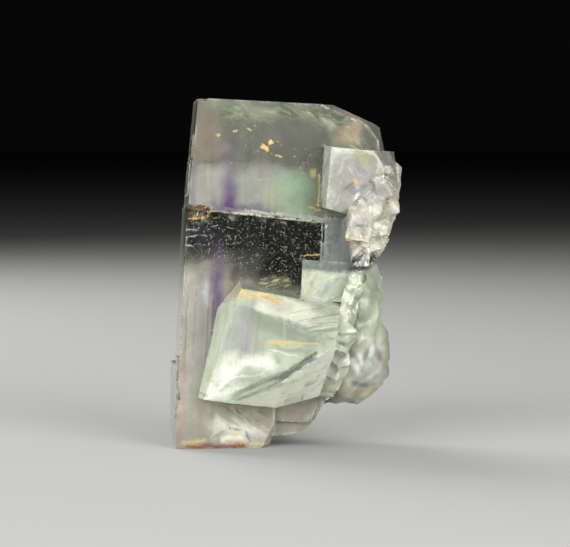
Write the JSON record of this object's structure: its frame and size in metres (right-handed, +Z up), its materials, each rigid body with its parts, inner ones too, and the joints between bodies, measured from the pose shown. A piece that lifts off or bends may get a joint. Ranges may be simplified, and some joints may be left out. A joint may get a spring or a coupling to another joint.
{
  "type": "fluorite and quartz crystal specimen",
  "caption": "Stepped pale green and violet fluorite cubes grown together on a broken crust of clear quartz, standing on the flat cut under a tall slab-like crystal.",
  "frame": {"origin": "middle of the bounding box's underside, on the surface that the specimen stands on", "axes": "+Z up along the tall slab-like crystal, +X to the right and +Y to the back as seen from the side that shows the ledge, so that side faces -Y"},
  "size_m": [0.0416, 0.0422, 0.0598],
  "materials": {
    "fluorite": "gloss",
    "rear_fluorite": "gloss",
    "quartz": "gloss"
  },
  "bodies": {
    "root": {"fluorite_cubes": "fluorite", "rear_fluorite_crystal": "rear_fluorite", "quartz_matrix": "quartz"}
  },
  "joints": []
}
